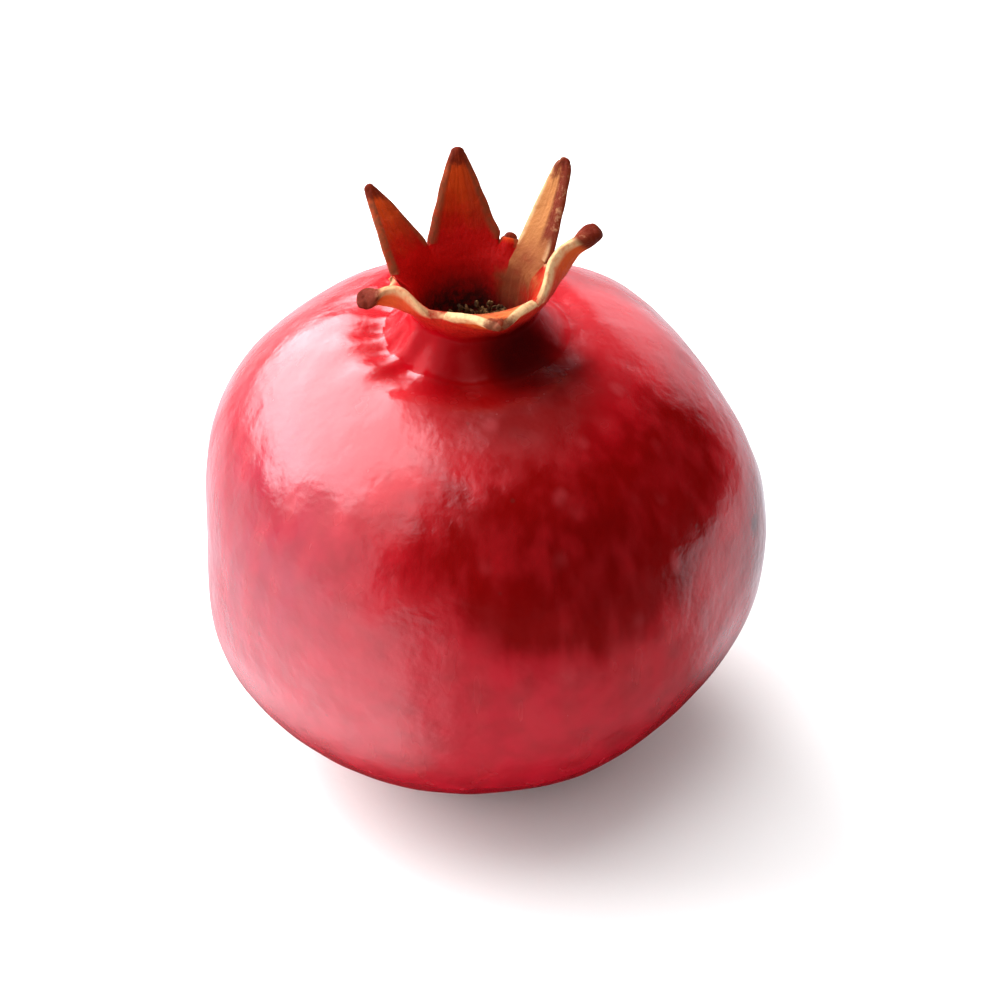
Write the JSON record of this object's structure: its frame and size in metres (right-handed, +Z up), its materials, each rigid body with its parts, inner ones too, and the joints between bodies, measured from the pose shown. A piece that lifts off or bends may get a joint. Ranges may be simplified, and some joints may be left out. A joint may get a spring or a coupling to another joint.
{
  "type": "pomegranate",
  "caption": "Whole ripe pomegranate with a leathery red rind, a short neck and an open calyx crown that holds dried stamens.",
  "frame": {"origin": "middle of the fruit's box, on the surface that it stands on", "axes": "+Z up from the stem end to the crown; -Y is the side that faces the viewer, with +X to the viewer's right"},
  "size_m": [0.0914, 0.0896, 0.1022],
  "materials": {
    "rind": "satin",
    "stamens": "matte"
  },
  "bodies": {
    "root": {"fruit": "rind", "stamens": "stamens"}
  },
  "joints": []
}
